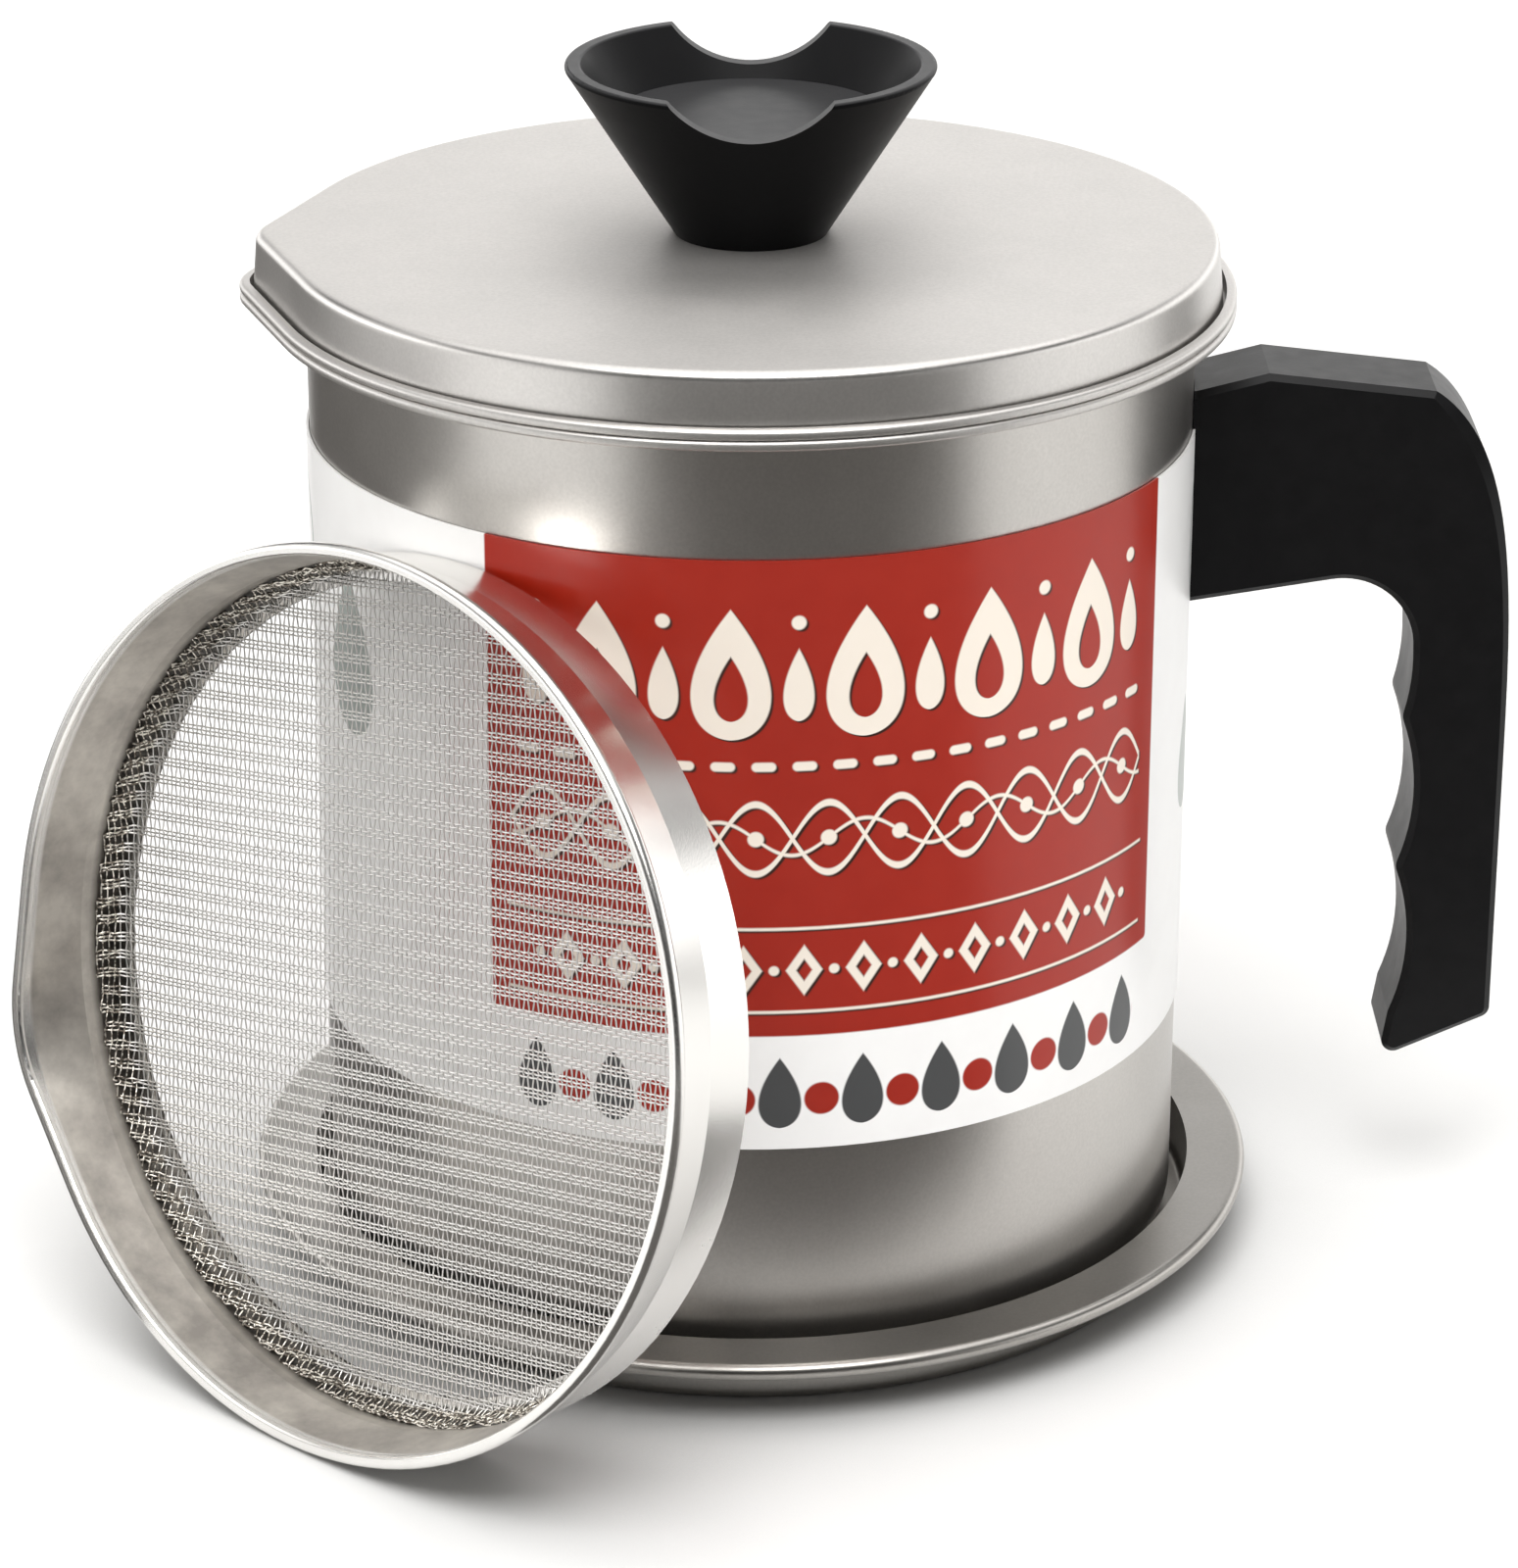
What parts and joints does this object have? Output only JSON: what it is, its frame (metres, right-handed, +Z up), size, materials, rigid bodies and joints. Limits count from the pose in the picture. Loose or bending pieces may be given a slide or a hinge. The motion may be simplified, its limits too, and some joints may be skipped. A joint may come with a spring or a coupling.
{
  "type": "bacon grease container",
  "caption": "Steel grease pot with a ledged rim and pouring lip, a drop-on lid with a cup knob, a side handle, a drip tray and a mesh strainer leaning on it.",
  "frame": {"origin": "centre of the underside of the drip tray, on the surface that the pot stands on", "axes": "+Z up along the axis of the pot, +X towards the handle, the pouring lip towards -X, the leaning strainer at -X and -Y"},
  "size_m": [0.1948, 0.1698, 0.1585],
  "materials": {
    "satin_steel": "satin",
    "label_paper": "glossy",
    "black_phenolic": "satin",
    "zinc_steel": "satin",
    "insert_brass": "satin",
    "bright_steel": "polished",
    "mesh_wire": "woven wire"
  },
  "bodies": {
    "tray": {"drip_tray": "satin_steel"},
    "pot": {"pot_body": "satin_steel", "pot_rim": "satin_steel", "label_sleeve": "label_paper", "handle_grip": "black_phenolic", "handle_bracket": "zinc_steel", "handle_screw": "zinc_steel"},
    "lid": {"lid_shell": "satin_steel", "lid_knob": "black_phenolic", "knob_insert": "insert_brass", "knob_screw": "zinc_steel", "knob_washer": "zinc_steel"},
    "strainer": {"strainer_band": "bright_steel", "strainer_mesh": "mesh_wire"}
  },
  "joints": [
    {"name": "pot_lift", "type": "slide", "parent": "tray", "child": "pot", "axis": [0, 0, 1], "range_m": [0, 0.06]},
    {"name": "lid_lift", "type": "slide", "parent": "pot", "child": "lid", "axis": [0, 0, 1], "range_m": [0, 0.06]},
    {"name": "strainer_away", "type": "slide", "parent": "tray", "child": "strainer", "axis": [-0.4704, -0.528, 0.7071], "range_m": [0, 0.06]}
  ]
}
